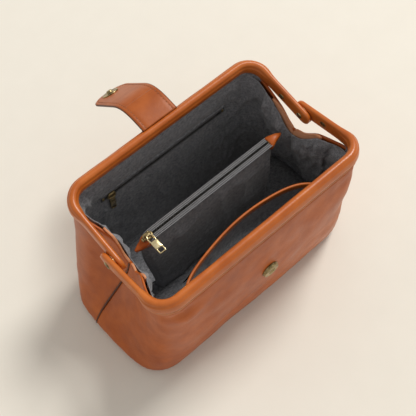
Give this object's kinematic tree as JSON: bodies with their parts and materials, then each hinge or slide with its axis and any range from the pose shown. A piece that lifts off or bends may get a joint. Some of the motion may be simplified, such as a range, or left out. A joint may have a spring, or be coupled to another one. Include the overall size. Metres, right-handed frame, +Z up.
{
  "type": "framed toiletry bag",
  "caption": "Leather toiletry bag with a hinged two-half frame mouth, folding ends, centre zip pocket, lining pockets and a snap strap, standing open.",
  "frame": {"origin": "centre of the underside of the base panel, on the surface the bag stands on", "axes": "+X along the length, -Y towards the front, which has the female snap, +Y towards the back with the strap, +Z up"},
  "size_m": [0.258, 0.2359, 0.1712],
  "materials": {
    "tan_leather": "smooth pull-up leather, soft sheen",
    "dark_leather": "matt suede side",
    "grey_lining": "heathered twill, matt",
    "zip_tape": "woven, matt",
    "antique_brass": "antique, half polished",
    "steel": "zinc plated",
    "stiffener": "pressed board"
  },
  "bodies": {
    "root": {"base_panel": "tan_leather", "base_board": "stiffener", "base_lining": "grey_lining", "left_gusset": "tan_leather", "right_gusset": "tan_leather", "left_gusset_lining": "grey_lining", "right_gusset_lining": "grey_lining", "left_gusset_facing": "dark_leather", "right_gusset_facing": "dark_leather", "divider_front": "grey_lining", "divider_back": "grey_lining", "divider_tape_front": "zip_tape", "divider_tape_back": "zip_tape", "divider_teeth": "antique_brass", "divider_stops": "antique_brass", "divider_left_tab": "tan_leather", "divider_right_tab": "tan_leather"},
    "divider_slider_body": {"divider_slider": "antique_brass"},
    "divider_pull_body": {"divider_pull": "antique_brass"},
    "front_wall": {"front_panel": "tan_leather", "front_lining": "grey_lining", "slip_pocket": "grey_lining", "slip_pocket_trim": "tan_leather", "front_snap": "antique_brass", "front_snap_washer": "steel"},
    "back_wall": {"back_panel": "tan_leather", "back_lining": "grey_lining", "back_pocket_bag": "grey_lining", "back_zip_tape": "zip_tape", "back_zip_teeth": "antique_brass", "back_zip_stops": "antique_brass", "strap_patch": "tan_leather"},
    "back_slider_body": {"back_slider": "antique_brass"},
    "back_pull_body": {"back_pull": "antique_brass"},
    "front_frame": {"front_frame_strip": "steel", "front_casing": "tan_leather", "front_left_pin": "antique_brass", "front_right_pin": "antique_brass", "front_left_rivet": "antique_brass", "front_right_rivet": "antique_brass"},
    "back_frame": {"back_frame_strip": "steel", "back_casing": "tan_leather", "back_left_pin": "antique_brass", "back_right_pin": "antique_brass", "back_left_rivet": "antique_brass", "back_right_rivet": "antique_brass", "left_hinge_washer": "antique_brass", "right_hinge_washer": "antique_brass", "strap_anchor": "tan_leather"},
    "strap": {"strap_arm": "tan_leather"},
    "strap_end": {"strap_tip": "tan_leather", "strap_snap": "antique_brass", "strap_snap_cap": "antique_brass"}
  },
  "joints": [
    {"name": "front_wall_lean", "type": "hinge", "parent": "root", "child": "front_wall", "pos_m": [0, -0.058, 0], "axis": [-1, 0, 0], "range_deg": [0, 20.9], "deforming": ["left_gusset", "right_gusset", "left_gusset_lining", "right_gusset_lining", "left_gusset_facing", "right_gusset_facing"]},
    {"name": "front_frame_fold", "type": "hinge", "parent": "front_wall", "child": "front_frame", "pos_m": [0, -0.07195, 0.1535], "axis": [-1, 0, 0], "range_deg": [0, 50.1]},
    {"name": "back_wall_lean", "type": "hinge", "parent": "root", "child": "back_wall", "pos_m": [0, 0.058, 0], "axis": [1, 0, 0], "range_deg": [0, 20.9]},
    {"name": "back_frame_fold", "type": "hinge", "parent": "back_wall", "child": "back_frame", "pos_m": [0, 0.07195, 0.1535], "axis": [1, 0, 0], "range_deg": [0, 50.1]},
    {"name": "strap_swing", "type": "hinge", "parent": "back_frame", "child": "strap", "pos_m": [0, 0.07256, 0.16859], "axis": [1, 0, 0], "range_deg": [-35, 104.5]},
    {"name": "strap_bend", "type": "hinge", "parent": "strap", "child": "strap_end", "pos_m": [0, 0.09824, 0.16774], "axis": [1, 0, 0], "range_deg": [-15, 113.5]},
    {"name": "divider_zip_slide", "type": "slide", "parent": "root", "child": "divider_slider_body", "axis": [1, 0, 0], "range_m": [0, 0.14]},
    {"name": "divider_pull_swing", "type": "hinge", "parent": "divider_slider_body", "child": "divider_pull_body", "pos_m": [-0.07, 0.0036, 0.1287], "axis": [-1, 0, 0], "range_deg": [0, 45]},
    {"name": "back_zip_slide", "type": "slide", "parent": "back_wall", "child": "back_slider_body", "axis": [1, 0, 0], "range_m": [0, 0.128]},
    {"name": "back_pull_swing", "type": "hinge", "parent": "back_slider_body", "child": "back_pull_body", "pos_m": [-0.0647, 0.06768, 0.10653], "axis": [-1, 0, 0], "range_deg": [0, 55]}
  ],
  "couplings": [
    {"joint": "back_wall_lean", "follows": "front_wall_lean", "ratio": 1},
    {"joint": "front_frame_fold", "follows": "front_wall_lean", "ratio": 2.3969},
    {"joint": "back_frame_fold", "follows": "front_wall_lean", "ratio": 2.3969}
  ]
}
